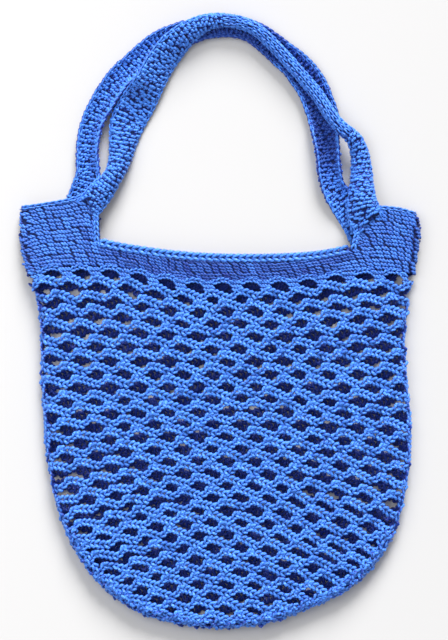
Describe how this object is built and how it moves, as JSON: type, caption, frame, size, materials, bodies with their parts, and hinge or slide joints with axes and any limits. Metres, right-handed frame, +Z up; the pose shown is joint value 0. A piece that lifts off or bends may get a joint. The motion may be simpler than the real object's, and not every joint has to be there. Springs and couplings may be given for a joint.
{
  "type": "string shopping bag",
  "caption": "Crocheted cotton net bag with a round base, a close band round its mouth and two shoulder straps, lying flat and empty.",
  "frame": {"origin": "middle of the ground that the bag covers, on the surface it lies on", "axes": "+X across the bag, +Y from the base towards the crown of the straps, +Z up through both layers"},
  "size_m": [0.3992, 0.6174, 0.0254],
  "materials": {
    "cotton_yarn": "matte royal-blue mercerised cotton yarn, crocheted"
  },
  "bodies": {
    "root": {"net_pouch": "cotton_yarn", "top_band": "cotton_yarn", "front_rim_edging": "cotton_yarn", "back_rim_edging": "cotton_yarn", "left_ear_edging": "cotton_yarn", "right_ear_edging": "cotton_yarn", "front_strap": "cotton_yarn", "back_strap": "cotton_yarn"}
  },
  "joints": []
}
